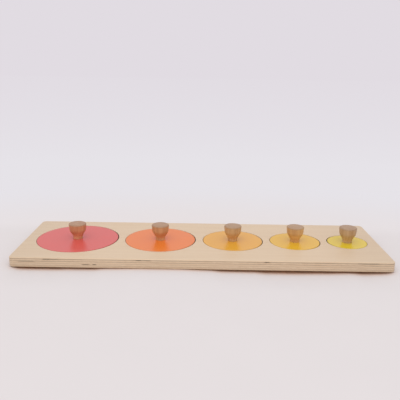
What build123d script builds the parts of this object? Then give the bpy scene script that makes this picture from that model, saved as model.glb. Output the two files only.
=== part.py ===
from build123d import *
from math import radians, tan
import os

# Circle puzzle: a plywood tray with a row of five round recesses. Each recess holds a lacquered
# disc, which lifts out by the turned knob at its centre. The knob is held by a wood screw that is
# driven from beneath the disc.
# The origin is the middle of the tray's underside. +X runs along the row towards the smallest
# disc, +Y to the back and +Z up. All sizes are in millimetres.

# Discs, from the largest to the smallest
red_disc_diameter = 90.8
orange_disc_diameter = 79.0
apricot_disc_diameter = 67.2
golden_disc_diameter = 56.2
yellow_disc_diameter = 44.2
disc_top_easing = 0.4
disc_bottom_easing = 0.3

# Tray: a frame sheet with five holes, glued on a thin base sheet of the same outline
frame_thickness = 8.5
base_thickness = 2.5
recess_play = 1.2
recess_edge_easing = 0.3
bridge_between_recesses = 8.0
margin_before_red = 12.6
margin_after_yellow = 12.0
margin_along_sides = 16.5
tray_corner_radius = 5.0
tray_top_rounding = 1.2
tray_bottom_rounding = 1.4

# Where each loose disc lies across its recess, as a share of the play on one side
red_rest_share = -0.6
orange_rest_share = -0.5
apricot_rest_share = -0.4
golden_rest_share = -0.35
yellow_rest_share = 0.5

# Turned knob: a short straight neck, a flare that opens into a full belly, and a low crown
knob_height = 18.0
knob_radius = 9.9
belly_radius = 9.2
belly_height = 9.8
neck_radius = 5.4
neck_height = 3.2
crown_rise = 0.4
flare_rounding = 5.0
belly_rounding = 8.0
crown_edge_rounding = 1.2

# Wood screw, countersunk, with a cross recess
screw_length = 19.5
screw_radius = 1.5
screw_tip_length = 3.0
screw_head_radius = 3.0
screw_head_rim = 0.3
screw_head_sunk = 0.4
countersink_angle = 90.0
cross_span = 3.4
cross_slot = 0.8
cross_depth = 1.4
cross_taper = 14.0

# Clearances of the screw in its holes, on the radius, and below its tip
disc_hole_clearance = 0.25
countersink_clearance = 0.05
pilot_clearance = 0.05
pilot_spare_depth = 1.0

# The discs are sawn from the same sheet as the frame, so they lie level with its top
disc_thickness = frame_thickness

# The countersink meets the head's cone, so its mouth is wider by what lies below that cone
countersink_slope = tan(radians(countersink_angle / 2))
countersink_depth = screw_head_sunk + screw_head_rim
countersink_mouth = screw_head_radius + countersink_clearance + countersink_depth * countersink_slope

discs = [
    ("red", red_disc_diameter, red_rest_share),
    ("orange", orange_disc_diameter, orange_rest_share),
    ("apricot", apricot_disc_diameter, apricot_rest_share),
    ("golden", golden_disc_diameter, golden_rest_share),
    ("yellow", yellow_disc_diameter, yellow_rest_share),
]
recess_diameters = [diameter + recess_play for name, diameter, share in discs]

row_length = sum(recess_diameters) + bridge_between_recesses * (len(discs) - 1)
tray_length = margin_before_red + row_length + margin_after_yellow
tray_width = max(recess_diameters) + 2 * margin_along_sides


def recess_centres():
    """The middle of each recess along X, laid out from the tray's left end."""
    centres = []
    wall = margin_before_red - tray_length / 2
    for diameter in recess_diameters:
        centres.append(wall + diameter / 2)
        wall += diameter + bridge_between_recesses
    return centres


def save(piece, name):
    """Label a finished piece and write its file."""
    piece.part.label = name
    export_step(piece.part, f"parts/{name}.step")


def make_base_panel():
    with BuildPart() as base_panel:
        with BuildSketch(Plane.XY):
            RectangleRounded(tray_length, tray_width, tray_corner_radius)
        extrude(amount=base_thickness)
        fillet(base_panel.edges().group_by(Axis.Z)[0], tray_bottom_rounding)
    save(base_panel, "base_panel")


def make_frame_panel():
    """The sheet with the five holes, its outer edge and the holes' edges eased at the top."""
    with BuildPart() as frame_panel:
        with BuildSketch(Plane.XY.offset(base_thickness)):
            RectangleRounded(tray_length, tray_width, tray_corner_radius)
        extrude(amount=frame_thickness)
        fillet(frame_panel.edges().group_by(Axis.Z)[-1], tray_top_rounding)
        with BuildSketch(Plane.XY.offset(base_thickness)):
            for centre, diameter in zip(recess_centres(), recess_diameters):
                with Locations((centre, 0)):
                    Circle(diameter / 2)
        extrude(amount=frame_thickness, mode=Mode.SUBTRACT)
        hole_rims = frame_panel.faces().sort_by(Axis.Z)[-1].inner_wires()
        chamfer(hole_rims.edges(), recess_edge_easing)
    save(frame_panel, "frame_panel")


def make_disc(name, seat, diameter):
    """A disc on its seat, with a countersunk hole at its centre for the knob's screw."""
    with BuildPart() as disc:
        with BuildSketch(seat):
            Circle(diameter / 2)
        extrude(amount=disc_thickness)
        chamfer(disc.edges().group_by(Axis.Z)[-1], disc_top_easing)
        chamfer(disc.edges().group_by(Axis.Z)[0], disc_bottom_easing)
        with Locations(disc.faces().sort_by(Axis.Z)[0]):
            CounterSinkHole(
                radius=screw_radius + disc_hole_clearance,
                counter_sink_radius=countersink_mouth,
                counter_sink_angle=countersink_angle,
            )
    save(disc, f"{name}_disc")


def make_knob(name, seat):
    """A turned knob on the disc's top, with a blind pilot hole for the screw's thread."""
    foot = seat.offset(disc_thickness)
    crown_edge_height = knob_height - crown_rise
    corner_roundings = [
        ((neck_radius, neck_height), flare_rounding),
        ((belly_radius, belly_height), belly_rounding),
        ((knob_radius, crown_edge_height), crown_edge_rounding),
    ]
    with BuildPart() as knob:
        with BuildSketch(Plane(foot.origin, x_dir=(1, 0, 0), z_dir=(0, -1, 0))) as profile:
            with BuildLine():
                turned_corners = [corner for corner, rounding in corner_roundings]
                Polyline((0, knob_height), (0, 0), (neck_radius, 0), *turned_corners)
                TangentArc((0, knob_height), (knob_radius, crown_edge_height), tangent=(1, 0))
            make_face()
            for corner, rounding in corner_roundings:
                fillet(profile.vertices().sort_by_distance(corner)[0], rounding)
        revolve(axis=Axis(foot.origin, (0, 0, 1)))
        thread_depth = screw_head_sunk + screw_length - disc_thickness
        with Locations(knob.faces().sort_by(Axis.Z)[0]):
            Hole(screw_radius + pilot_clearance, depth=thread_depth + pilot_spare_depth)
    save(knob, f"{name}_disc_knob")


def make_screw(name, seat):
    """A countersunk screw, head down, standing in the disc and reaching into the knob."""
    head = seat.offset(screw_head_sunk)
    cone_height = (screw_head_radius - screw_radius) / countersink_slope
    with BuildPart() as screw:
        with BuildSketch(Plane(head.origin, x_dir=(1, 0, 0), z_dir=(0, -1, 0))):
            with BuildLine():
                Polyline(
                    (0, 0),
                    (screw_head_radius, 0),
                    (screw_head_radius, screw_head_rim),
                    (screw_radius, screw_head_rim + cone_height),
                    (screw_radius, screw_length - screw_tip_length),
                    (0, screw_length),
                    close=True,
                )
            make_face()
        revolve(axis=Axis(head.origin, (0, 0, 1)))
        with BuildSketch(head):
            Rectangle(cross_span, cross_slot)
            Rectangle(cross_slot, cross_span)
        extrude(amount=cross_depth, taper=cross_taper, mode=Mode.SUBTRACT)
    save(screw, f"{name}_disc_screw")


os.makedirs("parts", exist_ok=True)
make_base_panel()
make_frame_panel()
for (name, diameter, rest_share), centre in zip(discs, recess_centres()):
    rest_place = centre + rest_share * recess_play / 2
    seat = Plane((rest_place, 0, base_thickness))
    make_disc(name, seat, diameter)
    make_knob(name, seat)
    make_screw(name, seat)
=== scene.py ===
from math import ceil, cos, hypot, pi, radians, sin
from typing import NamedTuple

import bmesh
import bpy
from mathutils import Matrix, Vector


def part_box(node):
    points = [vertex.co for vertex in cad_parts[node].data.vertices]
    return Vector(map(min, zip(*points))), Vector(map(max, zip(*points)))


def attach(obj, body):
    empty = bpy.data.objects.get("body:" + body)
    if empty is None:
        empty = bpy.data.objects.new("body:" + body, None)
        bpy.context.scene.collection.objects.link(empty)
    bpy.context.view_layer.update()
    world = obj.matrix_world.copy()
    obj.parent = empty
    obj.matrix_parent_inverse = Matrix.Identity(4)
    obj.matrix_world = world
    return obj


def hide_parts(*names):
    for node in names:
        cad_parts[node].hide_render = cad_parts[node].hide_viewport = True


# Circle puzzle: a plywood tray of two glued sheets, and five lacquered discs with turned knobs.
# Sizes are in millimetres and become metres where a mesh, the light or the camera is made.

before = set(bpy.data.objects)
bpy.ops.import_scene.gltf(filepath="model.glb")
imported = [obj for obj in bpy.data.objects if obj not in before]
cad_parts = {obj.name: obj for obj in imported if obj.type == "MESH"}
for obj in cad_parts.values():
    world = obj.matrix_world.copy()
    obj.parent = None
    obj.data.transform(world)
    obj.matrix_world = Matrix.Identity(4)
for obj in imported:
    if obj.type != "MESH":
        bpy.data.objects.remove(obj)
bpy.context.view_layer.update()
MM = 0.001

COLOURS = ("red", "orange", "apricot", "golden", "yellow")


def node_box(node):
    """The lowest and the highest corner of a node's box, in millimetres."""
    return [tuple(round(value / MM, 3) for value in corner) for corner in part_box(node)]


# Node trees

class Pattern(NamedTuple):
    """Noise: how often it varies per millimetre each way, where it starts, how far apart a sheet's
    layers are in it, how many finer levels it has and how rough they are."""

    per_mm: tuple
    start: tuple = (0.0, 0.0, 0.0)
    layer_jump: float = 0.0
    detail: float = 2.0
    roughness: float = 0.5


NOISE_MEAN = 0.5


def is_vector(side):
    """Whether one side of an expression is a vector or a colour."""
    return side.socket.type in ("VECTOR", "RGBA") if isinstance(side, Wire) else isinstance(side, tuple)


class Wire:
    """A node's output, with operators that add the nodes of an expression."""

    def __init__(self, board, socket):
        self.board = board
        self.socket = socket

    def compute(self, operation, first, second):
        """A Math node for two numbers, or Vector Math where one side is a vector or a colour."""
        sides = (first, second)
        if not any(is_vector(side) for side in sides):
            return self.board.maths(operation, first, second)
        spread = [side if isinstance(side, (Wire, tuple)) else (side, side, side) for side in sides]
        return self.board.node("ShaderNodeVectorMath", {"operation": operation}, dict(enumerate(spread)))

    def __add__(self, other):
        return self.compute("ADD", self, other)

    def __radd__(self, other):
        return self.compute("ADD", other, self)

    def __sub__(self, other):
        return self.compute("SUBTRACT", self, other)

    def __rsub__(self, other):
        return self.compute("SUBTRACT", other, self)

    def __mul__(self, other):
        return self.compute("MULTIPLY", self, other)

    def __rmul__(self, other):
        return self.compute("MULTIPLY", other, self)

    def __truediv__(self, other):
        return self.compute("DIVIDE", self, other)

    def __rtruediv__(self, other):
        return self.compute("DIVIDE", other, self)

    def out(self, name):
        """Another output of the same node."""
        return Wire(self.board, self.socket.node.outputs[name])


class Board:
    """A node tree and the one way in which nodes are added to it."""

    def __init__(self, tree):
        self.tree = tree
        tree.nodes.clear()

    def node(self, kind, settings=None, inputs=None):
        """A node of a kind, with its settings first and then its sockets, by name or by place. Gives
        its first output."""
        node = self.tree.nodes.new(kind)
        for name, value in (settings or {}).items():
            if name == "stops":
                self.set_stops(node.color_ramp, value)
            elif name == "interpolation":
                node.color_ramp.interpolation = value
            else:
                setattr(node, name, value)
        sockets = [socket for socket in node.inputs if socket.enabled]
        for key, value in (inputs or {}).items():
            socket = sockets[key] if isinstance(key, int) else [s for s in sockets if s.name == key][0]
            if isinstance(value, Wire):
                self.tree.links.new(value.socket, socket)
            elif socket.type == "RGBA":
                socket.default_value = (*value, 1.0)[:4]
            else:
                socket.default_value = value
        outputs = [socket for socket in node.outputs if socket.enabled]
        return Wire(self, outputs[0]) if outputs else None

    def set_stops(self, ramp, stops):
        while len(ramp.elements) < len(stops):
            ramp.elements.new(1.0)
        for element, (position, colour) in zip(ramp.elements, stops):
            element.position = position
            element.color = (*colour, 1.0)

    def maths(self, operation, *values):
        return self.node("ShaderNodeMath", {"operation": operation}, dict(enumerate(values)))

    def place(self, centre=(0.0, 0.0, 0.0)):
        """The place on a piece, in millimetres from a centre."""
        centre = tuple(value * MM for value in centre)
        return (self.node("ShaderNodeTexCoord").out("Object") - centre) * (1 / MM)

    def split(self, vector):
        x = self.node("ShaderNodeSeparateXYZ", {}, {0: vector})
        return x, x.out("Y"), x.out("Z")

    def join(self, x, y, z):
        return self.node("ShaderNodeCombineXYZ", {}, {0: x, 1: y, 2: z})

    def noise(self, pattern, place, layer=None):
        """A pattern at a place in millimetres, and for a layer in its own part of the noise."""
        spot = place * pattern.per_mm
        if any(pattern.start):
            spot = spot + pattern.start
        if layer is not None:
            spot = spot + layer * pattern.layer_jump
        return self.node(
            "ShaderNodeTexNoise",
            {"noise_dimensions": "3D"},
            {"Vector": spot, "Scale": 1.0, "Detail": pattern.detail, "Roughness": pattern.roughness},
        )

    def ease(self, value, low, high, to_low=0.0, to_high=1.0):
        """The value's way from low to high, smoothed and held at both ends."""
        return self.node(
            "ShaderNodeMapRange",
            {"interpolation_type": "SMOOTHSTEP", "clamp": True},
            {"Value": value, "From Min": low, "From Max": high, "To Min": to_low, "To Max": to_high},
        )

    def blend(self, share, first, second):
        return self.node(
            "ShaderNodeMix",
            {"data_type": "RGBA", "clamp_factor": True},
            {"Factor": share, "A": first, "B": second},
        )

    def tone(self, colour, value):
        """The colour made darker or lighter by a value about 1."""
        grey = self.node("ShaderNodeCombineColor", {}, {0: value, 1: value, 2: value})
        return self.node(
            "ShaderNodeMix",
            {"data_type": "RGBA", "blend_type": "MULTIPLY", "clamp_factor": True},
            {"Factor": 1.0, "A": colour, "B": grey},
        )


class Finish(Board):
    """A material on its board."""

    def __init__(self, name):
        self.material = bpy.data.materials.new(name)
        self.material.use_nodes = True
        super().__init__(self.material.node_tree)

    def mark(self, name):
        """What a mesh says at each of its points under a name."""
        return self.node("ShaderNodeAttribute", {"attribute_name": name}).out("Fac")

    def surface(self, colour, roughness, height, relief, **constants):
        """Closes the board. A height of 1 stands for the whole relief, which is in millimetres."""
        normal = self.node("ShaderNodeBump", {}, {"Height": height, "Distance": relief * MM})
        shader = self.node(
            "ShaderNodeBsdfPrincipled",
            {},
            {"Base Color": colour, "Roughness": roughness, "Normal": normal, **constants},
        )
        self.node("ShaderNodeOutputMaterial", {}, {"Surface": shader})
        return self.material


# Plywood

# Each layer from below: its top, how light its cut edge is, and whether its grain runs front to back
VENEERS = (
    (0.8, 1.03, 0),
    (1.7, 0.96, 1),
    (2.6, 1.00, 0),
    (4.8, 0.98, 1),
    (6.9, 1.04, 0),
    (9.3, 1.01, 1),
    (11.0, 1.05, 0),
)
SHEET_TOP = VENEERS[-1][0]
# The cut edges' tones are kept in a ramp, whose colours end at 1, so there they are divided by this
TONE_ROOM = 2.0
# Each layer has its own number below 1, so that no two look alike. The next is this much further on
LAYER_STRIDE = 0.37
# Height of each glue line, half its width and how strongly it shows
GLUE_LINES = (
    (0.8, 0.22, 0.3),
    (1.7, 0.22, 0.3),
    (2.6, 0.32, 0.75),
    (4.8, 0.28, 0.5),
    (6.9, 0.38, 0.92),
    (9.3, 0.50, 1.0),
)

BIRCH_PALE = (0.74, 0.565, 0.395)
BIRCH_DEEP = (0.66, 0.475, 0.315)
GLUE_BROWN = (0.19, 0.105, 0.055)
GAP_SHADOW = (0.045, 0.026, 0.016)
# Painted shade: the brown that darkens the recess walls and the tray's rounded foot
PAINTED_SHADE_BROWN = (0.15, 0.075, 0.035)

# The layers aren't quite flat: they rise and sink by up to half of this height
LAYER_SWAY = Pattern((0.014, 0.02, 0.0), start=(0.0, 0.0, 1.7), detail=1.0)
LAYER_SWAY_HEIGHT = 0.25
# Patterns along the grain, across it and up through the layers
BIRCH_STREAKS = Pattern((0.011, 0.22, 0.5), layer_jump=60.0, detail=3.0)
BIRCH_FIBRES = Pattern((0.09, 2.2, 2.4), layer_jump=80.0, detail=4.0, roughness=0.65)
BIRCH_PORES = Pattern((0.45, 7.5, 7.5), layer_jump=40.0, detail=1.0)
BROKEN_GLUE = Pattern((0.055, 0.055, 0.8), detail=3.0, roughness=0.7)
HANDLED_VARNISH = Pattern((0.03, 0.03, 0.03), detail=3.0)
# The stretch of the noise over which each of them fades in
STREAK_BAND = (0.30, 0.74)
PORE_BAND = (0.60, 0.76)
BROKEN_GLUE_BAND = (0.36, 0.64)
# How strongly each shows on a sheet's face, and how much more on its cut edge
STREAK_SHADE = (0.32, 0.38)
FIBRE_SHADE = (0.08, 0.24)
PORE_SHADE = (0.035, 0.075)
# The share of the glue that still shows where it is faintest, and how well it covers the wood
FAINTEST_GLUE = 0.6
GLUE_COVER = 0.98

TRAY_TONE = 0.978
# Painted shade: the wood darkens a little towards the tray's ends, where the light falls off, between these
# distances from its middle
PAINTED_FALLOFF_ENDS = (110.0, 200.0)
PAINTED_FALLOFF_SHADE = 0.07
VARNISH_ROUGHNESS = 0.46
HANDLED_ROUGHNESS = 0.14
OPEN_GRAIN_ROUGHNESS = 0.1
# The varnished wood's relief, and each thing's share in it
VARNISH_RELIEF = 0.05
FIBRE_RISE = 0.6
PORE_SINK = 0.5
GLUE_SINK = 0.8


def veneer_stops():
    """Where each layer begins, with its cut edge's tone, its grain's way and its own number."""
    stops = []
    low = 0.0
    for count, (top, tone, crossed) in enumerate(VENEERS):
        stops.append((low / SHEET_TOP, (tone / TONE_ROOM, crossed, (count * LAYER_STRIDE) % 1)))
        low = top
    return stops


def glue_stops():
    stops = [(0.0, (0, 0, 0))]
    for height, half, strength in GLUE_LINES:
        for offset, share in ((-half, 0), (0, strength), (half, 0)):
            stops.append(((height + offset) / SHEET_TOP, (share, share, share)))
    return stops


class Wood(NamedTuple):
    """What shows of plywood at a place, and the level of that place among the layers."""

    colour: Wire
    fibre: Wire
    pores: Wire
    level: Wire


def layered_wood(board, place, face):
    """Solid birch plywood. The face share is 1 on a face of the sheet and 0 on a cut edge."""
    x, y, z = board.split(place)
    level = z + (board.noise(LAYER_SWAY, place) - NOISE_MEAN) * LAYER_SWAY_HEIGHT
    layer = board.node(
        "ShaderNodeValToRGB",
        {"interpolation": "CONSTANT", "stops": veneer_stops()},
        {0: level * (1 / SHEET_TOP)},
    )
    cut_tone = board.node("ShaderNodeSeparateColor", {}, {0: layer})
    crossed = cut_tone.out("Green")
    layer_number = board.join(0.0, 0.0, cut_tone.out("Blue"))
    grain = board.join(x + (y - x) * crossed, y + (x - y) * crossed, level)
    streak = board.ease(board.noise(BIRCH_STREAKS, grain, layer_number), *STREAK_BAND)
    fibre = board.noise(BIRCH_FIBRES, grain, layer_number)
    pores = board.ease(board.noise(BIRCH_PORES, grain, layer_number), *PORE_BAND)
    edge = 1.0 - face

    def strength(on_face, more_on_edge):
        return on_face + edge * more_on_edge

    colour = board.blend(streak * strength(*STREAK_SHADE), BIRCH_PALE, BIRCH_DEEP)
    shade = 1.0 + (fibre - NOISE_MEAN) * strength(*FIBRE_SHADE) - pores * strength(*PORE_SHADE)
    shade = shade * (cut_tone * TONE_ROOM * edge + face)
    return Wood(board.tone(colour, shade), fibre, pores, level)


def glue_lines(board, x, y, level):
    """How strongly the glue shows on a cut edge, fainter here and there."""
    lines = board.node("ShaderNodeValToRGB", {"stops": glue_stops()}, {0: level * (1 / SHEET_TOP)})
    strength = board.node("ShaderNodeSeparateColor", {}, {0: lines})
    broken = board.noise(BROKEN_GLUE, board.join(x, y, level))
    return strength * board.ease(broken, *BROKEN_GLUE_BAND, to_low=FAINTEST_GLUE)


def tray_plywood(name, face_band):
    """Clear-varnished plywood, whose upper face begins between the two heights of the band."""
    board = Finish(name)
    place = board.place()
    x, y, z = board.split(place)
    face = board.ease(z, *face_band)
    wood = layered_wood(board, place, face)
    glue = glue_lines(board, x, y, wood.level) * (1.0 - face)
    colour = board.blend(glue * GLUE_COVER, wood.colour, GLUE_BROWN)
    # Painted shade where the light falls off towards the tray's ends
    painted_falloff = board.ease(board.maths("ABSOLUTE", x), *PAINTED_FALLOFF_ENDS)
    colour = board.tone(colour, TRAY_TONE - painted_falloff * PAINTED_FALLOFF_SHADE)
    colour = board.blend(board.mark("veneer_gap"), colour, GAP_SHADOW)
    # Painted shade: the recess walls and the tray's rounded foot are darkened towards brown
    colour = board.blend(board.mark("scorch"), colour, PAINTED_SHADE_BROWN)
    handled = board.noise(HANDLED_VARNISH, place) - NOISE_MEAN
    rough = VARNISH_ROUGHNESS + handled * HANDLED_ROUGHNESS
    rough = rough + (wood.pores + glue) * OPEN_GRAIN_ROUGHNESS
    height = wood.fibre * FIBRE_RISE - wood.pores * PORE_SINK - glue * GLUE_SINK
    return board.surface(colour, rough, height, VARNISH_RELIEF)


# Lacquer

LACQUERS = {
    "red": (0.71, 0.103, 0.087),
    "orange": (0.85, 0.205, 0.027),
    "apricot": (0.805, 0.392, 0.037),
    "golden": (0.805, 0.460, 0.026),
    "yellow": (0.77, 0.555, 0.021),
}

# The wood's grain that prints through the lacquer, the lacquer's own unevenness, the layers that
# print through on the side, and the ragged line where it begins there
GRAIN_BELOW = Pattern((0.05, 1.1, 0.0), start=(0.0, 0.0, 3.1), detail=3.0)
ORANGE_PEEL = Pattern((0.9, 0.9, 0.9), detail=1.0)
CLOUDING = Pattern((0.06, 0.06, 0.06), detail=3.0)
SIDE_PLIES = Pattern((0.04, 0.04, 1.3), detail=3.0)
RAGGED_FOOT = Pattern((0.5, 0.5, 0.5))
# The lacquer begins between these heights on a disc's side, and up to half of this higher or lower
LACQUER_FOOT = (0.22, 0.42)
RAGGED_HEIGHT = 0.25
# The top's look passes into the side's over this height
LACQUER_EDGE = 0.3

LACQUER_TONE = 0.97
CLOUD_SHADE = 0.10
GRAIN_BELOW_SHADE = 0.035
# The disc's side is darkened by this much as painted shade of the narrow gap round it
SIDE_PAINTED_SHADE = 0.28
SIDE_PLY_SHADE = 0.22
LACQUER_ROUGHNESS = 0.31
CLOUD_ROUGHNESS = 0.08
SIDE_ROUGHNESS = 0.12
BARE_ROUGHNESS = 0.5
REFRACTIVE_INDEX = 1.64
# The lacquer's relief, and each thing's share in it
LACQUER_RELIEF = 0.02
PEEL_RISE = 0.35
GRAIN_RISE = 0.5
SIDE_PLY_RISE = 2.0


def lacquer(name, lacquer_colour, seat, thickness):
    """Gloss lacquer over a disc's top and side, with the plywood left bare underneath."""
    board = Finish(name)
    place = board.place(seat)
    z = board.split(place)[2]
    grain = board.noise(GRAIN_BELOW, place)
    peel = board.noise(ORANGE_PEEL, place)
    cloud = board.noise(CLOUDING, place) - NOISE_MEAN
    side_plies = board.noise(SIDE_PLIES, place)
    side = 1.0 - board.ease(z, thickness - LACQUER_EDGE, thickness)
    paint_tone = LACQUER_TONE + cloud * CLOUD_SHADE + (grain - NOISE_MEAN) * GRAIN_BELOW_SHADE
    paint = board.tone(lacquer_colour, paint_tone)
    # Painted shade of the gap round the disc darkens its side, with the plies printing through
    paint = board.tone(paint, 1.0 - side * (SIDE_PAINTED_SHADE + side_plies * SIDE_PLY_SHADE))
    # Sawn from the frame sheet, the disc has the sheet's layers at the same heights
    wood = layered_wood(board, place + (0.0, 0.0, seat[2]), 1.0)
    ragged = z + (board.noise(RAGGED_FOOT, place) - NOISE_MEAN) * RAGGED_HEIGHT
    bare = 1.0 - board.ease(ragged, *LACQUER_FOOT)
    rough = LACQUER_ROUGHNESS + cloud * CLOUD_ROUGHNESS + side * SIDE_ROUGHNESS
    rough = rough + (BARE_ROUGHNESS - rough) * bare
    height = peel * PEEL_RISE + grain * GRAIN_RISE + side * side_plies * SIDE_PLY_RISE
    height = height + (wood.fibre - NOISE_MEAN) * bare
    colour = board.blend(bare, paint, wood.colour)
    return board.surface(colour, rough, height, LACQUER_RELIEF, IOR=REFRACTIVE_INDEX)


# Beech

BEECH_PALE = (0.68, 0.40, 0.21)
BEECH_DEEP = (0.50, 0.25, 0.115)
CROWN_GREY = (0.403, 0.258, 0.165)
# Each knob's own tone of beech
BEECH_TONES = {
    "red": (0.90, 0.71, 0.68),
    "orange": (0.87, 0.79, 0.71),
    "apricot": (0.87, 0.91, 0.84),
    "golden": (0.97, 1.0, 0.82),
    "yellow": (0.79, 0.88, 0.90),
}
# The way that the first knob's rings lie, and how far each next knob is turned on from it
FIRST_KNOB_TURN = 0.9
NEXT_KNOB_TURN = 1.3

# Patterns across the rings, along them and up the knob
BEECH_RINGS = Pattern((0.32, 0.14, 0.012), detail=3.0)
BEECH_FIBRES = Pattern((2.6, 2.6, 0.10), detail=4.0, roughness=0.6)
BEECH_FLECKS = Pattern((1.1, 5.0, 0.32), detail=1.0)
TOOL_MARKS = Pattern((0.0, 0.0, 2.2), start=(3.0, 5.0, 0.0))
RING_BAND = (0.32, 0.70)
FLECK_BAND = (0.60, 0.70)
# Heights and radii between which each part of the knob begins, and the flare ends
CROWN_BAND = (15.6, 17.9)
ARRIS_BAND = (15.6, 16.9)
ARRIS_RADII = (7.6, 9.0)
FLARE_BAND = (-1.2, 3.2)
FLARE_END = (5.5, 9.5)

RING_SHARE = 0.8
CROWN_SHARE = 0.75
BEECH_FIBRE_SHADE = 0.26
FLECK_SHADE = 0.11
# Painted shade on the crown's rounded rim
ARRIS_PAINTED_SHADE = 0.10
# Painted light on the flare and foot, which lie in the shade of the crown
FLARE_PAINTED_LIGHT = 0.12
BEECH_ROUGHNESS = 0.40
BEECH_FIBRE_ROUGHNESS = 0.16
CROWN_ROUGHNESS = 0.06
# The beech's relief, and each thing's share in it
BEECH_RELIEF = 0.05
BEECH_FIBRE_RISE = 0.5
FLECK_SINK = 0.2
TOOL_MARK_RISE = 0.5


def turned_beech(name, foot, turn, tone):
    """Oiled beech turned between centres, its fibres upright and its end grain on the crown."""
    board = Finish(name)
    x, y, z = board.split(board.place(foot))
    grain = board.join(x * cos(turn) + y * sin(turn), y * cos(turn) - x * sin(turn), z)
    rings = board.ease(board.noise(BEECH_RINGS, grain), *RING_BAND)
    fibre = board.noise(BEECH_FIBRES, grain)
    flecks = board.ease(board.noise(BEECH_FLECKS, grain), *FLECK_BAND)
    tool = board.noise(TOOL_MARKS, grain)
    radius = board.maths("SQRT", x * x + y * y)
    crown = board.ease(z, *CROWN_BAND)
    arris_painted_shade = board.ease(z, *ARRIS_BAND) * board.ease(radius, *ARRIS_RADII)
    # Painted light lightens the flare and the foot below it
    flare_painted_light = board.ease(z, *FLARE_BAND) * (1.0 - board.ease(z, *FLARE_END))
    pale = tuple(part * share for part, share in zip(BEECH_PALE, tone))
    deep = tuple(part * share for part, share in zip(BEECH_DEEP, tone))
    wood = board.blend(crown * CROWN_SHARE, board.blend(rings * RING_SHARE, pale, deep), CROWN_GREY)
    shade = 1.0 + (fibre - NOISE_MEAN) * BEECH_FIBRE_SHADE - flecks * FLECK_SHADE * (1.0 - crown)
    # Painted shade on the crown's rim and painted light on the flare and foot
    shade = shade - arris_painted_shade * ARRIS_PAINTED_SHADE + flare_painted_light * FLARE_PAINTED_LIGHT
    rough = BEECH_ROUGHNESS + (fibre - NOISE_MEAN) * BEECH_FIBRE_ROUGHNESS + crown * CROWN_ROUGHNESS
    height = fibre * BEECH_FIBRE_RISE - flecks * FLECK_SINK + tool * TOOL_MARK_RISE * (1.0 - crown)
    return board.surface(board.tone(wood, shade), rough, height, BEECH_RELIEF)


# Zinc

ZINC_DULL = (0.62, 0.62, 0.60)
ZINC_BRIGHT = (0.78, 0.77, 0.72)
ZINC_SPOTS = Pattern((1.4, 1.4, 1.4), detail=3.0)
ZINC_TURNING = Pattern((0.2, 0.2, 9.0))
ZINC_ROUGHNESS = 0.30
SPOT_ROUGHNESS = 0.2
TURNING_ROUGHNESS = 0.1
ZINC_RELIEF = 0.015


def zinc_plate(name):
    board = Finish(name)
    place = board.place()
    spots = board.noise(ZINC_SPOTS, place)
    turned = board.noise(ZINC_TURNING, place)
    colour = board.blend(spots, ZINC_DULL, ZINC_BRIGHT)
    rough = ZINC_ROUGHNESS + (spots - NOISE_MEAN) * SPOT_ROUGHNESS
    rough = rough + (turned - NOISE_MEAN) * TURNING_ROUGHNESS
    return board.surface(colour, rough, spots + turned, ZINC_RELIEF, Metallic=1.0)


# Meshes

SHARP_ANGLE = radians(32)
# A point stands this close to each end of a long straight run, so that its shading stays flat
EDGE_REACH = 0.12
LONG_RUN = 8 * EDGE_REACH


def tidy_mesh(mesh):
    """Faces turned outwards, and sharp edges kept crisp."""
    work = bmesh.new()
    work.from_mesh(mesh)
    bmesh.ops.recalc_face_normals(work, faces=work.faces)
    for edge in work.edges:
        if len(edge.link_faces) == 2 and edge.calc_face_angle(0.0) > SHARP_ANGLE:
            edge.smooth = False
    work.to_mesh(mesh)
    work.free()


def add_piece(name, mesh):
    piece = bpy.data.objects.new(name, mesh)
    bpy.context.scene.collection.objects.link(piece)
    return piece


def dress(piece, node, body):
    """Lets a finished piece stand for its node, on the body that carries it."""
    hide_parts(node)
    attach(piece, body)


# Turning

# A thread's depth, pitch, start and end, here for a piece that has none
NO_THREAD = (0.0, 1.0, 0.0, 1.0)
# A thread gains its depth over one turn and loses it over this many
THREAD_RUN_OUT = 2.0
# Whole turns that keep the count of turns above 0 before its fraction is taken
SPARE_TURNS = 10.0
# Points of a turned piece that are closer than this become one
SAME_PLACE = 0.001


def eased_path(corners, arc_steps):
    """A path through corners (r, z, rounding), with an arc of fine steps at each rounded corner."""
    path = []
    last = len(corners) - 1
    for count, (r, z, rounding) in enumerate(corners):
        if not rounding or count in (0, last):
            path.append((r, z))
            continue
        corner = Vector((r, z))
        before = (Vector(corners[count - 1][:2]) - corner).normalized()
        after = (Vector(corners[count + 1][:2]) - corner).normalized()
        half = before.angle(after) / 2
        reach = rounding * cos(half) / sin(half)
        middle = corner + (before + after).normalized() * (rounding / sin(half))
        start = corner + before * reach - middle
        end = corner + after * reach - middle
        sweep = start.angle(end)
        for step in range(arc_steps + 1):
            share = step / arc_steps
            spoke = (start * sin((1 - share) * sweep) + end * sin(share * sweep)) / sin(sweep)
            path.append(tuple(middle + spoke))
    return path


def held(path):
    """The path with a point close to each end of every long straight run."""
    points = [path[0]]
    for (r0, z0), (r1, z1) in zip(path, path[1:]):
        length = hypot(r1 - r0, z1 - z0)
        if length > LONG_RUN:
            for share in (EDGE_REACH / length, 1 - EDGE_REACH / length):
                points.append((r0 + (r1 - r0) * share, z0 + (z1 - z0) * share))
        points.append((r1, z1))
    return points


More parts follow.
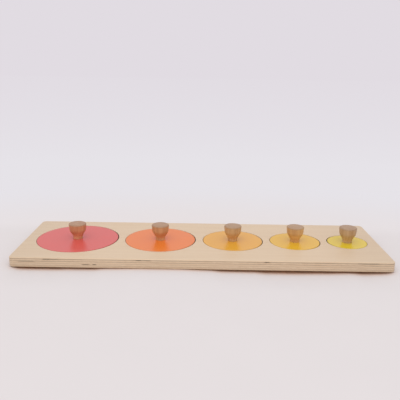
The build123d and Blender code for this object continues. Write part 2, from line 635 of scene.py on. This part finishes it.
def turning_tree():
    """The lathe: turns a profile, whose x is the radius and z the height, about an upright axis.
    A thread can be cut on it between two heights."""
    tree = bpy.data.node_groups.new("turning", "GeometryNodeTree")
    for name, kind in (
        ("Profile", "NodeSocketGeometry"),
        ("Steps Round", "NodeSocketInt"),
        ("Axis Place", "NodeSocketVector"),
        ("Thread Depth", "NodeSocketFloat"),
        ("Thread Pitch", "NodeSocketFloat"),
        ("Thread Start", "NodeSocketFloat"),
        ("Thread End", "NodeSocketFloat"),
        ("Finish", "NodeSocketMaterial"),
    ):
        tree.interface.new_socket(name, in_out="INPUT", socket_type=kind)
    tree.interface.new_socket("Turned", in_out="OUTPUT", socket_type="NodeSocketGeometry")
    board = Board(tree)
    given = board.node("NodeGroupInput")
    profile, steps, pitch = (given.out(name) for name in ("Profile", "Steps Round", "Thread Pitch"))
    start, end = given.out("Thread Start"), given.out("Thread End")

    # A grid with a row for each point of the profile and a column for each step round
    count = board.node("GeometryNodeAttributeDomainSize", {"component": "MESH"}, {"Geometry": profile})
    columns = steps + 1.0
    sides = {"Size X": 1.0, "Size Y": 1.0, "Vertices X": count.out("Point Count"), "Vertices Y": columns}
    grid = board.node("GeometryNodeMeshGrid", {}, sides)
    index = board.node("GeometryNodeInputIndex")
    # The half keeps the first point of a row from falling into the row before
    row = board.maths("FLOOR", (index + 0.5) / columns)
    share = (index - row * columns) / steps
    point = board.node(
        "GeometryNodeSampleIndex",
        {"data_type": "FLOAT_VECTOR"},
        {"Geometry": profile, "Value": board.node("GeometryNodeInputPosition"), "Index": row},
    )
    radius = board.node("ShaderNodeSeparateXYZ", {}, {0: point})
    height = radius.out("Z")

    # The thread's crest winds up by one pitch in each turn
    turn = board.maths("FRACT", height / pitch - share + SPARE_TURNS)
    crest = 1.0 - board.maths("ABSOLUTE", turn * 2.0 - 1.0)
    rise = board.ease(height, start, start + pitch)
    fall = board.ease(height, end - pitch * THREAD_RUN_OUT, end)
    radius = radius + crest * rise * (1.0 - fall) * given.out("Thread Depth")

    angle = share * (2 * pi)
    spot = board.join(radius * board.maths("COSINE", angle), radius * board.maths("SINE", angle), height)
    spot = spot + given.out("Axis Place")
    turned = board.node("GeometryNodeSetPosition", {}, {"Geometry": grid, "Position": spot})
    for kind, sockets in (
        ("GeometryNodeMergeByDistance", {"Distance": SAME_PLACE * MM}),
        ("GeometryNodeSetShadeSmooth", {"Shade Smooth": True}),
        ("GeometryNodeRealizeInstances", {}),
        ("GeometryNodeSetMaterial", {"Material": given.out("Finish")}),
    ):
        turned = board.node(kind, {}, {"Geometry": turned, **sockets})
    board.node("NodeGroupOutput", {}, {"Turned": turned})
    return tree


TURNING = turning_tree()


def turned_piece(name, profile, axis_place, steps, finish, thread=NO_THREAD):
    """A piece off the lathe, from a profile of points (r, z) above the place of its axis."""
    mesh = bpy.data.meshes.new(name)
    points = [(r * MM, 0.0, z * MM) for r, z in profile]
    mesh.from_pydata(points, [(n, n + 1) for n in range(len(points) - 1)], [])
    piece = add_piece(name, mesh)
    lathe = piece.modifiers.new("turning", "NODES")
    lathe.node_group = TURNING
    depth, pitch, start, end = thread
    settings = {
        "Steps Round": steps,
        "Axis Place": [value * MM for value in axis_place],
        "Thread Depth": depth * MM,
        "Thread Pitch": pitch * MM,
        "Thread Start": start * MM,
        "Thread End": end * MM,
        "Finish": finish,
    }
    for socket in TURNING.interface.items_tree:
        if socket.name in settings:
            lathe[socket.identifier] = settings[socket.name]
    depsgraph = bpy.context.evaluated_depsgraph_get()
    solid = bpy.data.meshes.new_from_object(piece.evaluated_get(depsgraph), depsgraph=depsgraph)
    piece.modifiers.clear()
    piece.data = solid
    solid.name = name
    return piece


# Sheets

CORNER_STEPS = 12
OUTLINE_STEP = 1.6
EDGE_ARC_STEPS = 7
HOLE_STEPS = 180
# Where a core veneer falls short at the front edge: x, length, height and how deep it is
VENEER_GAPS = (
    (-160.5, 7.0, 9.3, 1.0),
    (-153.0, 10.0, 9.3, 0.5),
    (-65.0, 5.5, 9.3, 1.0),
    (-57.0, 9.0, 9.3, 0.45),
    (66.8, 5.0, 9.3, 1.0),
    (171.0, 22.0, 9.3, 0.55),
    (-120.0, 7.5, 4.0, 0.7),
    (-111.5, 4.0, 4.0, 1.0),
    (-181.0, 17.0, 6.9, 0.7),
)
GAP_HALF_HEIGHT = 0.34
GAP_DEPTH = 0.8
# A gap is at its full depth this far in from its ends, and marks points this close to the front
GAP_END = 0.8
FRONT_BAND = 0.5
GROOVE_DEPTH = 0.06
GROOVE_REACH = 0.395
HALF_GROOVE = 0.5
# A groove round the edge, from below: how far from its middle, and its share of the depth
GROOVE_SHAPE = (
    (-GROOVE_REACH, 0.0),
    (-GAP_HALF_HEIGHT, HALF_GROOVE),
    (0.0, 1.0),
    (GAP_HALF_HEIGHT, HALF_GROOVE),
    (GROOVE_REACH, 0.0),
)
WALL_GROOVE_REACH = 0.2
# The eased rim of a recess: how far down and how much wider, as shares of its easing
RIM_SHAPE = ((0.0, 1.0), (0.3, 0.3), (1.0, 0.0))
# The wall is darkened as painted shade from here down, as a share of the easing
WALL_PAINTED_SHADE_START = 2.0
# How strongly painted shade darkens the recess walls, and the tray's rounded foot up to a height
WALL_PAINTED_SHADE = 0.5
FOOT_PAINTED_SHADE = 0.3
FOOT_PAINTED_SHADE_TOP = 0.55


def add_ring(work, points):
    return [work.verts.new((x * MM, y * MM, z * MM)) for x, y, z in points]


def join_rings(work, lower, upper, smooth=True):
    for n in range(len(lower)):
        after = (n + 1) % len(lower)
        work.faces.new((lower[n], lower[after], upper[after], upper[n])).smooth = smooth


def ring_edges(work, ring):
    """The edges round a ring of points, made where there are none yet."""
    pairs = [(ring[n], ring[n - 1]) for n in range(len(ring))]
    return [work.edges.get(pair) or work.edges.new(pair) for pair in pairs]


def fill_flat(work, edges):
    """A flat face between closed rings of edges: an outline and the holes in it."""
    bmesh.ops.triangle_fill(work, use_beauty=True, use_dissolve=False, edges=edges)


def outline_points(size, corner):
    """Points round a rounded rectangle, each with the way outwards: x, y and the way's x and y."""
    reach_x, reach_y = (side / 2 - corner for side in size)
    middles = ((reach_x, reach_y), (-reach_x, reach_y), (-reach_x, -reach_y), (reach_x, -reach_y))
    points = []
    for count, (middle_x, middle_y) in enumerate(middles):
        for n in range(CORNER_STEPS + 1):
            angle = radians(90 * (count + n / CORNER_STEPS))
            out_x, out_y = cos(angle), sin(angle)
            points.append((middle_x + corner * out_x, middle_y + corner * out_y, out_x, out_y))
        next_x, next_y = middles[(count + 1) % len(middles)]
        x, y, out_x, out_y = points[-1]
        runs = ceil(hypot(next_x - middle_x, next_y - middle_y) / OUTLINE_STEP)
        for n in range(1, runs):
            share = n / runs
            along_x, along_y = (next_x - middle_x) * share, (next_y - middle_y) * share
            points.append((x + along_x, y + along_y, out_x, out_y))
    return points


def gap_share(x, y, z, front):
    """How far a point of the edge lies in a veneer gap, from 0 to 1."""
    if abs(y - front) > FRONT_BAND:
        return 0.0
    most = 0.0
    for middle, length, height, depth in VENEER_GAPS:
        if abs(z - height) < GROOVE_REACH:
            most = max(most, depth * min(1.0, (length / 2 - abs(x - middle)) / GAP_END))
    return most


def edge_rows(low, high, bottom_rounding, top_rounding, groove_heights):
    """Rows (height, inset, groove share) of a sheet's edge from below. A groove lies at each of the
    heights, and half a groove where there is no rounding, because the other sheet is glued on there."""
    angles = [pi / 2 * n / EDGE_ARC_STEPS for n in range(EDGE_ARC_STEPS + 1)]
    if bottom_rounding:
        rows = [(low + bottom_rounding * (1 - cos(a)), bottom_rounding * (1 - sin(a)), 0.0) for a in angles]
    else:
        rows = [(low, 0.0, HALF_GROOVE), (low + EDGE_REACH, 0.0, 0.0)]
    rows += [(height + offset, 0.0, share) for height in groove_heights for offset, share in GROOVE_SHAPE]
    if top_rounding:
        rows += [(high - top_rounding * (1 - sin(a)), top_rounding * (1 - cos(a)), 0.0) for a in angles]
    else:
        rows += [(high - EDGE_REACH, 0.0, 0.0), (high, 0.0, HALF_GROOVE)]
    return rows


def wall_rows(low, high, easing):
    """Rows (height, how much wider, painted shade) down a recess's wall, with a groove at each glue line.
    """
    rows = [(high - down * easing, wider * easing, 0.0) for down, wider in RIM_SHAPE]
    rows.append((high - WALL_PAINTED_SHADE_START * easing, 0.0, WALL_PAINTED_SHADE))
    for height in reversed([line[0] for line in GLUE_LINES]):
        if low + WALL_GROOVE_REACH < height < high - easing:
            rows.append((height + WALL_GROOVE_REACH, 0.0, WALL_PAINTED_SHADE))
            rows.append((height, GROOVE_DEPTH, WALL_PAINTED_SHADE))
            rows.append((height - WALL_GROOVE_REACH, 0.0, WALL_PAINTED_SHADE))
    rows.append((low, 0.0, WALL_PAINTED_SHADE))
    return rows


def edge_rings(work, size, corner, rows):
    """The rings of a sheet's outer edge, from below, marked where a veneer falls short and where painted
    shade darkens the foot."""
    gap_mark, painted_shade_mark = (work.verts.layers.float[name] for name in ("veneer_gap", "scorch"))
    outline = outline_points(size, corner)
    rings = []
    for z, inset, groove in rows:
        gaps = [gap_share(x, y, z, -size[1] / 2) if groove else 0.0 for x, y, out_x, out_y in outline]
        points = []
        for gap, (x, y, out_x, out_y) in zip(gaps, outline):
            depth = inset + GROOVE_DEPTH * groove + GAP_DEPTH * gap
            points.append((x - out_x * depth, y - out_y * depth, z))
        rings.append(add_ring(work, points))
        for vert, gap in zip(rings[-1], gaps):
            vert[gap_mark] = gap
            # Painted shade on the tray's rounded foot
            vert[painted_shade_mark] = FOOT_PAINTED_SHADE if 0.0 < z < FOOT_PAINTED_SHADE_TOP else 0.0
    return rings


def hole_rings(work, centre, radius, rows):
    """The rings of a hole's wall, from above."""
    painted_shade_mark = work.verts.layers.float["scorch"]
    spokes = [(cos(2 * pi * n / HOLE_STEPS), sin(2 * pi * n / HOLE_STEPS)) for n in range(HOLE_STEPS)]
    rings = []
    for z, wider, scorch in rows:
        reach = radius + wider
        rings.append(add_ring(work, [(centre + reach * x, reach * y, z) for x, y in spokes]))
        for vert in rings[-1]:
            vert[painted_shade_mark] = scorch
    return rings


def sheet_piece(name, size, corner, rows, holes, finish):
    """A sheet from rows round its edge, with holes through it. A hole is its x, radius and easing."""
    work = bmesh.new()
    for mark in ("veneer_gap", "scorch"):
        work.verts.layers.float.new(mark)
    rings = edge_rings(work, size, corner, rows)
    for lower, upper in zip(rings, rings[1:]):
        join_rings(work, lower, upper)
    bottoms, tops = [rings[0]], [rings[-1]]
    low, high = rows[0][0], rows[-1][0]
    for centre, radius, easing in holes:
        wall = hole_rings(work, centre, radius, wall_rows(low, high, easing))
        for upper, lower in zip(wall, wall[1:]):
            join_rings(work, upper, lower)
        tops.append(wall[0])
        bottoms.append(wall[-1])
    for flat_rings in (tops, bottoms):
        fill_flat(work, [edge for ring in flat_rings for edge in ring_edges(work, ring)])
    mesh = bpy.data.meshes.new(name)
    work.to_mesh(mesh)
    work.free()
    tidy_mesh(mesh)
    mesh.materials.append(finish)
    return add_piece(name, mesh)


# Tray

TRAY_CORNER = 5.0
TOP_ROUNDING = 1.2
BOTTOM_ROUNDING = 1.4
RECESS_PLAY = 1.2
RECESS_EASING = 0.3
BRIDGE = 8.0
MARGIN_BEFORE_RED = 12.6
# Heights of the grooves round each sheet's edge, on or near a glue line or a veneer gap
FRAME_GROOVES = (4.0, 4.8, 6.9, 9.3)
BASE_GROOVES = (1.8,)
# Heights between which the cut edge's look passes into the upper face's
FRAME_FACE = (10.4, 10.98)
BASE_FACE = (2.47, 2.49)

discs = {colour: node_box(f"{colour}_disc") for colour in COLOURS}


def recesses():
    """The x, radius and edge easing of each recess, laid out from the tray's left end."""
    holes = []
    wall = node_box("frame_panel")[0][0] + MARGIN_BEFORE_RED
    for low, high in discs.values():
        diameter = high[0] - low[0] + RECESS_PLAY
        holes.append((wall + diameter / 2, diameter / 2, RECESS_EASING))
        wall += diameter + BRIDGE
    return holes


def make_sheet(part, bottom_rounding, top_rounding, groove_heights, face_band, holes):
    """One of the tray's two sheets, the frame or the base."""
    low, high = node_box(f"{part}_panel")
    size = (high[0] - low[0], high[1] - low[1])
    rows = edge_rows(low[2], high[2], bottom_rounding, top_rounding, groove_heights)
    finish = tray_plywood(f"{part}_plywood", face_band)
    sheet = sheet_piece(f"{part}_sheet", size, TRAY_CORNER, rows, holes, finish)
    dress(sheet, f"{part}_panel", "tray")


make_sheet("frame", 0.0, TOP_ROUNDING, FRAME_GROOVES, FRAME_FACE, recesses())
make_sheet("base", BOTTOM_ROUNDING, 0.0, BASE_GROOVES, BASE_FACE, [])


# Discs

DISC_STEPS = 192
DISC_ARC_STEPS = 8
DISC_TOP_ROUNDING = 0.45
DISC_BOTTOM_ROUNDING = 0.3
DISC_HOLE_RADIUS = 1.75
COUNTERSINK_MOUTH = 3.75


def disc_profile(radius, thickness):
    """A disc with a hole through it, and a countersink at the hole's foot that leans 45 degrees."""
    corners = [
        (DISC_HOLE_RADIUS, thickness, 0),
        (radius, thickness, DISC_TOP_ROUNDING),
        (radius, 0.0, DISC_BOTTOM_ROUNDING),
        (COUNTERSINK_MOUTH, 0.0, 0),
        (DISC_HOLE_RADIUS, COUNTERSINK_MOUTH - DISC_HOLE_RADIUS, 0),
        (DISC_HOLE_RADIUS, thickness, 0),
    ]
    return held(eased_path(corners, DISC_ARC_STEPS))


# Knobs

KNOB_STEPS = 96
KNOB_ARC_STEPS = 14
CROWN_STEPS = 14
KNOB_HEIGHT = 18.0
KNOB_RADIUS = 9.9
BELLY_RADIUS = 9.2
BELLY_HEIGHT = 9.8
NECK_RADIUS = 5.4
NECK_HEIGHT = 3.2
CROWN_RISE = 0.4
FLARE_ROUNDING = 5.0
BELLY_ROUNDING = 8.0
CROWN_EDGE_ROUNDING = 1.2
PILOT_RADIUS = 1.55
PILOT_DEPTH = 12.4


def knob_profile():
    """A knob from the end of its pilot hole, round its neck and belly, to the middle of its crown."""
    crown_edge = KNOB_HEIGHT - CROWN_RISE
    corners = [
        (0.0, PILOT_DEPTH, 0),
        (PILOT_RADIUS, PILOT_DEPTH, 0),
        (PILOT_RADIUS, 0.0, 0),
        (NECK_RADIUS, 0.0, 0),
        (NECK_RADIUS, NECK_HEIGHT, FLARE_ROUNDING),
        (BELLY_RADIUS, BELLY_HEIGHT, BELLY_ROUNDING),
        (KNOB_RADIUS, crown_edge, CROWN_EDGE_ROUNDING),
    ]
    # This corner gives the crown's slope at its edge, and isn't a point of the profile
    crown_lean = (BELLY_RADIUS - CROWN_EDGE_ROUNDING, crown_edge + CROWN_RISE / 3, 0)
    path = held(eased_path([*corners, crown_lean], KNOB_ARC_STEPS))[:-1]
    edge_r, edge_z = path[-1]
    # From its edge the crown rises as a flat parabola
    for n in range(1, CROWN_STEPS + 1):
        left = 1 - n / CROWN_STEPS
        path.append((edge_r * left, KNOB_HEIGHT - (KNOB_HEIGHT - edge_z) * left ** 2))
    return path


# Screws

SCREW_STEPS = 32
SCREW_LENGTH = 19.5
SCREW_HEAD_RADIUS = 3.0
SCREW_HEAD_RIM = 0.3
SCREW_CORE = 1.05
SCREW_SHANK = 1.35
SCREW_TIP_LENGTH = 3.0
SHANK_STEP = 0.6
THREAD_DEPTH = 0.43
THREAD_PITCH = 1.2
THREAD_START = 7.6
THREAD_END = 18.0
# Rows of points in each turn of the thread
THREAD_ROWS = 8
# The cross recess at its mouth and at its floor: depth, span and the width of a slot
CROSS_RECESS = ((0.0, 3.4, 0.8), (1.35, 2.7, 0.35))


def screw_profile():
    """A screw from the open rim of its head to its tip, with rows for the thread to be cut on."""
    path = [
        (SCREW_HEAD_RADIUS, 0.0),
        (SCREW_HEAD_RADIUS, SCREW_HEAD_RIM),
        (SCREW_SHANK, SCREW_HEAD_RIM + SCREW_HEAD_RADIUS - SCREW_SHANK),
        (SCREW_SHANK, THREAD_START - SHANK_STEP),
        (SCREW_CORE, THREAD_START),
    ]
    rise = THREAD_PITCH / THREAD_ROWS
    z = THREAD_START + rise
    while z < SCREW_LENGTH - rise / 2:
        path.append((SCREW_CORE * min(1.0, (SCREW_LENGTH - z) / SCREW_TIP_LENGTH), z))
        z += rise
    path.append((0.0, SCREW_LENGTH))
    return path


def cross_outline(span, slot):
    """The twelve corners of a cross: the three of one arm, and the same turned by quarters."""
    arm = [(span / 2, -slot / 2), (span / 2, slot / 2), (slot / 2, slot / 2)]
    corners = []
    for _ in range(4):
        corners += arm
        arm = [(-y, x) for x, y in arm]
    return corners


def cut_cross(mesh, head):
    """Closes the open head of a screw with a flat face that has a cross recess in it."""
    work = bmesh.new()
    work.from_mesh(mesh)
    rim = [edge for edge in work.edges if len(edge.link_faces) == 1]
    rings = []
    for depth, span, slot in CROSS_RECESS:
        spots = [(head[0] + x, head[1] + y, head[2] + depth) for x, y in cross_outline(span, slot)]
        rings.append(add_ring(work, spots))
    mouth, floor = rings
    join_rings(work, mouth, floor, smooth=False)
    work.faces.new(floor).smooth = False
    fill_flat(work, rim + ring_edges(work, mouth))
    work.to_mesh(mesh)
    work.free()


# Insets: a disc with its knob and screw

def make_inset(colour, knob_turn, zinc):
    """A lacquered disc, the knob on it and the screw that holds them together."""
    low, high = discs[colour]
    centre_x, centre_y = (low[0] + high[0]) / 2, (low[1] + high[1]) / 2
    seat = (centre_x, centre_y, low[2])
    radius, thickness = (high[0] - low[0]) / 2, high[2] - low[2]
    paint = lacquer(f"{colour}_lacquer", LACQUERS[colour], seat, thickness)
    profile = disc_profile(radius, thickness)
    disc = turned_piece(f"{colour}_lacquered_disc", profile, seat, DISC_STEPS, paint)

    foot = (centre_x, centre_y, high[2])
    beech = turned_beech(f"{colour}_knob_beech", foot, knob_turn, BEECH_TONES[colour])
    knob = turned_piece(f"{colour}_turned_knob", knob_profile(), foot, KNOB_STEPS, beech)

    screw_low = node_box(f"{colour}_disc_screw")[0]
    head = (centre_x, centre_y, screw_low[2])
    thread = (THREAD_DEPTH, THREAD_PITCH, THREAD_START, THREAD_END)
    screw = turned_piece(f"{colour}_wood_screw", screw_profile(), head, SCREW_STEPS, zinc, thread)
    cut_cross(screw.data, head)

    for piece in (disc, knob, screw):
        tidy_mesh(piece.data)
    dress(disc, f"{colour}_disc", f"{colour}_inset")
    dress(knob, f"{colour}_disc_knob", f"{colour}_inset")
    dress(screw, f"{colour}_disc_screw", f"{colour}_inset")


zinc = zinc_plate("zinc_plate")
for count, colour in enumerate(COLOURS):
    make_inset(colour, FIRST_KNOB_TURN + count * NEXT_KNOB_TURN, zinc)


# Paper under the tray

FLOOR_COLOUR = (0.755, 0.705, 0.712)
NEAR_BACKDROP = (0.791, 0.768, 0.807)
FAR_BACKDROP = (0.755, 0.7135, 0.762)
# Painted shade and warm bounce light on the paper under the tray's front edge
PAINTED_WARM_SHADE = (0.72, 0.47, 0.33)
PAPER_CLOUDS = Pattern((0.02, 0.02, 0.0))
PAPER_CLOUD_SHADE = 0.02
# Painted light: the open paper behind the tray is a little lighter, from its back edge on
OPEN_FLOOR = (45.0, 95.0)
OPEN_FLOOR_PAINTED_LIGHT = 0.045
# The lit paper passes into the even backdrop over these distances from a point before the tray,
# where a step along X counts for less than a step in depth
FADE_MIDDLE = -110.0
FADE_ALONG = 0.4
FADE_DISTANCES = (190.0, 420.0)
NEAR_BACKDROP_REACH = 660.0
# Painted shade and painted warm bounce light darken and warm the paper under the tray's front edge, between
# these places
WARMED_FRONT = (-69.0, -56.5)
WARMED_BACK = (-50.0, -30.0)
WARMED_ENDS = (192.0, 203.0)

# The paper lies in slight waves, and dips under two stretches of the tray's front edge. Each mark
# is a place along X and how deep the dip is there.
PAPER_DIPS = (
    (-206.0, 0.0),
    (-199.0, 0.25),
    (-187.0, 2.25),
    (-152.0, 2.3),
    (-138.0, 1.9),
    (-113.0, 1.75),
    (-100.0, 0.65),
    (-68.0, 0.0),
    (-25.0, 0.0),
    (8.0, 0.8),
    (22.0, 2.1),
    (54.0, 2.3),
    (66.0, 3.2),
    (96.0, 3.3),
    (128.0, 2.75),
    (154.0, 1.95),
    (167.0, 2.9),
    (184.0, 2.3),
    (206.0, 0.0),
)
# The dip begins under the tray, is full on both sides of its front edge, and ends before it
DIP_BACK = (-15.0, -50.0)
DIP_FRONT = (-72.0, -112.0)
# Lines of the floor's mesh: close together in the waved part, and far apart outside it
FLOOR_STEP = 5.0
WAVED_ALONG = (-300.0, 300.0)
WAVED_DEEP = (-170.0, 0.0)
OUTER_LINES = (400.0, 1000.0, 6000.0)


def slope(value, start, end):
    """0 at the start, 1 at the end, smooth between them and held outside them."""
    share = min(1.0, max(0.0, (value - start) / (end - start)))
    return share * share * (3 - 2 * share)


def paper_height(x, y):
    depth = 0.0
    for (left, depth_left), (right, depth_right) in zip(PAPER_DIPS, PAPER_DIPS[1:]):
        if left <= x < right:
            depth = depth_left + (depth_right - depth_left) * slope(x, left, right)
    return -depth * slope(y, *DIP_BACK) * (1 - slope(y, *DIP_FRONT))


def floor_lines(first, last):
    """The floor's lines one way, close together from the first place to the last."""
    steps = round((last - first) / FLOOR_STEP)
    waved = [first + n * FLOOR_STEP for n in range(steps + 1)]
    return [-line for line in reversed(OUTER_LINES)] + waved + list(OUTER_LINES)


def floor_mesh():
    work = bmesh.new()
    lines_along, lines_deep = floor_lines(*WAVED_ALONG), floor_lines(*WAVED_DEEP)
    grid = [add_ring(work, [(x, y, paper_height(x, y)) for y in lines_deep]) for x in lines_along]
    for left, right in zip(grid, grid[1:]):
        for n in range(len(left) - 1):
            work.faces.new((left[n], right[n], right[n + 1], left[n + 1])).smooth = True
    mesh = bpy.data.meshes.new("studio_floor")
    work.to_mesh(mesh)
    work.free()
    return mesh


def floor_paper():
    """Warm white paper near the tray, which passes into a backdrop of an even tone."""
    board = Finish("studio_floor")
    place = board.place()
    x, y = board.split(place)[:2]
    from_middle = y - FADE_MIDDLE
    distance = board.maths("SQRT", x * x * FADE_ALONG + from_middle * from_middle)
    clouds = board.noise(PAPER_CLOUDS, place) - NOISE_MEAN
    # Painted light on the open paper behind the tray
    open_floor = board.ease(y, *OPEN_FLOOR)
    colour = board.tone(FLOOR_COLOUR, 1.0 + clouds * PAPER_CLOUD_SHADE + open_floor * OPEN_FLOOR_PAINTED_LIGHT)
    # Painted shade and painted warm bounce light under the tray's front edge
    under_edge = board.ease(y, *WARMED_FRONT) * (1.0 - board.ease(y, *WARMED_BACK))
    painted_warm_shade = under_edge * (1.0 - board.ease(board.maths("ABSOLUTE", x), *WARMED_ENDS))
    colour = board.blend(painted_warm_shade, colour, PAINTED_WARM_SHADE)
    backdrop = board.blend(NEAR_BACKDROP_REACH / distance, FAR_BACKDROP, NEAR_BACKDROP)
    near = board.node("ShaderNodeBsdfDiffuse", {}, {"Color": colour})
    far = board.node("ShaderNodeEmission", {}, {"Color": backdrop, "Strength": 1.0})
    fade = board.ease(distance, *FADE_DISTANCES)
    shader = board.node("ShaderNodeMixShader", {}, {0: fade, 1: near, 2: far})
    board.node("ShaderNodeOutputMaterial", {}, {"Surface": shader})
    return board.material


# Light and camera

DOME_COLOUR = (1.0, 1.0, 1.0)
DOME_STRENGTH = 0.83
SOFTBOX_PLACE = (-150.0, -1300.0, 2100.0)
SOFTBOX_SIZE = 2600.0
SOFTBOX_POWER = 19.0

# The lens's focal length in pixels, on a picture that is so many pixels wide
FOCAL_PIXELS = 519.36
PICTURE_PIXELS = 400.0
SENSOR_WIDTH = 36.0
CAMERA_PLACE = (-2.3, -561.95, 208.7)
# How far the camera is turned to the left, tilted down and rolled, in degrees
CAMERA_TURN = 0.0754
CAMERA_TILT = 15.007
CAMERA_ROLL = 0.8359


def soft_light(name, place, size, power):
    """A square lamp aimed at the middle of the tray."""
    lamp = bpy.data.lights.new(name, "AREA")
    lamp.shape = "SQUARE"
    lamp.size = size * MM
    lamp.energy = power
    light = bpy.data.objects.new(name, lamp)
    light.location = Vector(place) * MM
    light.rotation_euler = (-light.location).to_track_quat("-Z", "Y").to_euler()
    bpy.context.scene.collection.objects.link(light)


def studio_world():
    """A white dome that lights the scene, seen by the camera and in reflections as the backdrop."""
    world = bpy.data.worlds.new("studio")
    bpy.context.scene.world = world
    world.use_nodes = True
    board = Board(world.node_tree)
    path = board.node("ShaderNodeLightPath")
    seen = board.maths("MAXIMUM", path.out("Is Camera Ray"), path.out("Is Glossy Ray"))
    seen = board.maths("MAXIMUM", seen, path.out("Is Transmission Ray"))
    dome = board.node("ShaderNodeBackground", {}, {"Color": DOME_COLOUR, "Strength": DOME_STRENGTH})
    backdrop = board.node("ShaderNodeBackground", {}, {"Color": FAR_BACKDROP, "Strength": 1.0})
    shader = board.node("ShaderNodeMixShader", {}, {0: seen, 1: dome, 2: backdrop})
    board.node("ShaderNodeOutputWorld", {}, {"Surface": shader})


def photo_camera():
    lens = bpy.data.cameras.new("photo_camera")
    lens.sensor_width = SENSOR_WIDTH
    lens.lens = FOCAL_PIXELS / PICTURE_PIXELS * SENSOR_WIDTH
    camera = bpy.data.objects.new("photo_camera", lens)
    camera.matrix_world = (
        Matrix.Translation(Vector(CAMERA_PLACE) * MM)
        @ Matrix.Rotation(radians(CAMERA_TURN), 4, "Z")
        @ Matrix.Rotation(radians(90 - CAMERA_TILT), 4, "X")
        @ Matrix.Rotation(radians(CAMERA_ROLL), 4, "Z")
    )
    bpy.context.scene.collection.objects.link(camera)
    bpy.context.scene.camera = camera


floor = add_piece("studio_floor", floor_mesh())
floor.data.materials.append(floor_paper())
studio_world()
soft_light("large_softbox", SOFTBOX_PLACE, SOFTBOX_SIZE, SOFTBOX_POWER)
photo_camera()
bpy.context.scene.view_settings.view_transform = "Standard"
